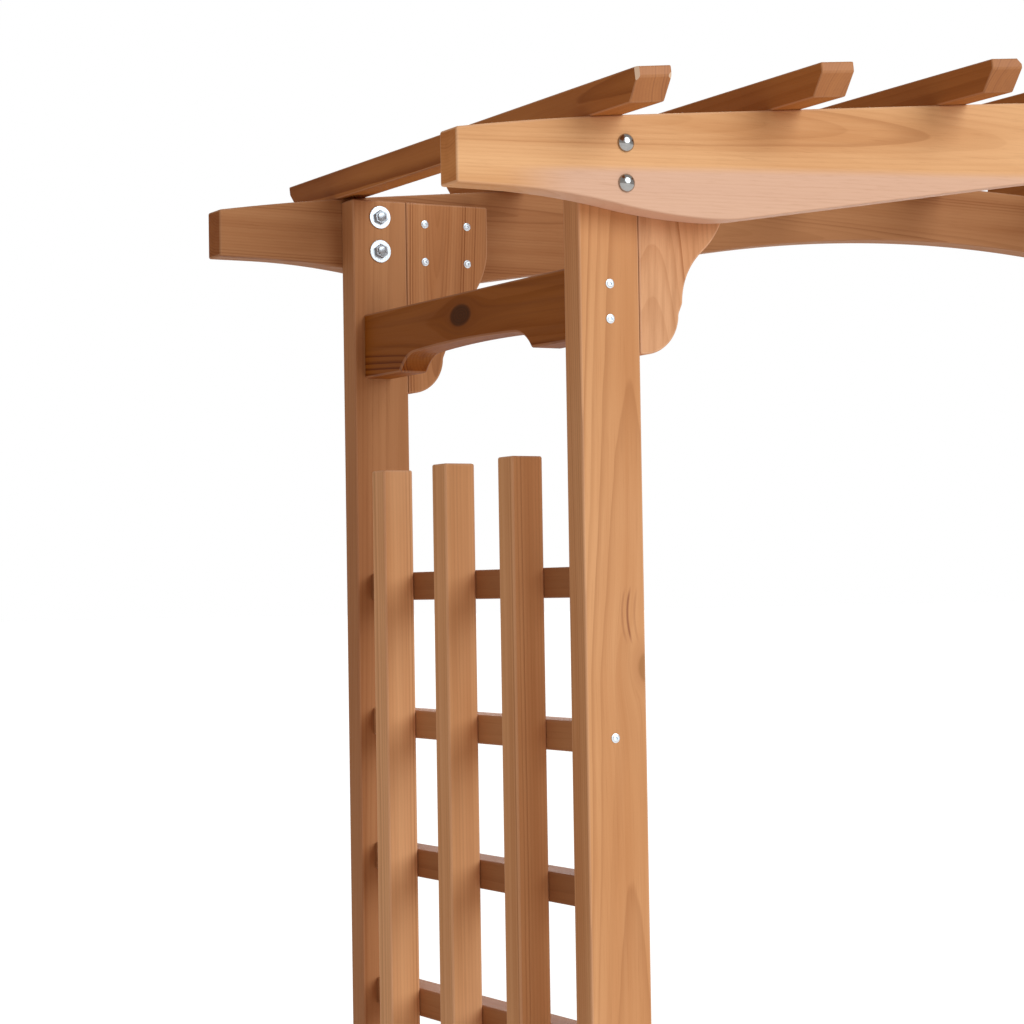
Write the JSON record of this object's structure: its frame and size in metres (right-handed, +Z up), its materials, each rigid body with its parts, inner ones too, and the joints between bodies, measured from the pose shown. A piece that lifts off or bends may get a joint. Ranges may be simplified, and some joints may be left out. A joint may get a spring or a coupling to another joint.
{
  "type": "wedding arbor",
  "caption": "Freestanding cedar garden arbor: flat posts, arched beams with shaped corbels, square rafters across the top and latticed sides under a scooped header.",
  "frame": {"origin": "on the ground, midway between the four posts", "axes": "+X across the walk from left to right, +Y from the front beam to the back beam, +Z up"},
  "size_m": [2.63, 1.031, 2.229],
  "materials": {
    "post_wood": "oiled cedar",
    "beam_wood": "oiled cedar",
    "corbel_wood": "oiled cedar",
    "header_wood": "oiled cedar",
    "lattice_wood": "oiled cedar",
    "rafter_wood": "oiled cedar"
  },
  "bodies": {
    "root": {"post_front_left": "post_wood", "post_front_right": "post_wood", "post_back_left": "post_wood", "post_back_right": "post_wood", "beam_front": "beam_wood", "beam_back": "beam_wood", "corbel_front_left": "corbel_wood", "corbel_front_right": "corbel_wood", "corbel_back_left": "corbel_wood", "corbel_back_right": "corbel_wood", "header_left": "header_wood", "header_right": "header_wood", "lattice_left": "lattice_wood", "lattice_right": "lattice_wood", "rafter_1": "rafter_wood", "rafter_2": "rafter_wood", "rafter_3": "rafter_wood", "rafter_4": "rafter_wood", "rafter_5": "rafter_wood", "rafter_6": "rafter_wood", "rafter_7": "rafter_wood", "rafter_8": "rafter_wood", "rafter_9": "rafter_wood"}
  },
  "joints": []
}
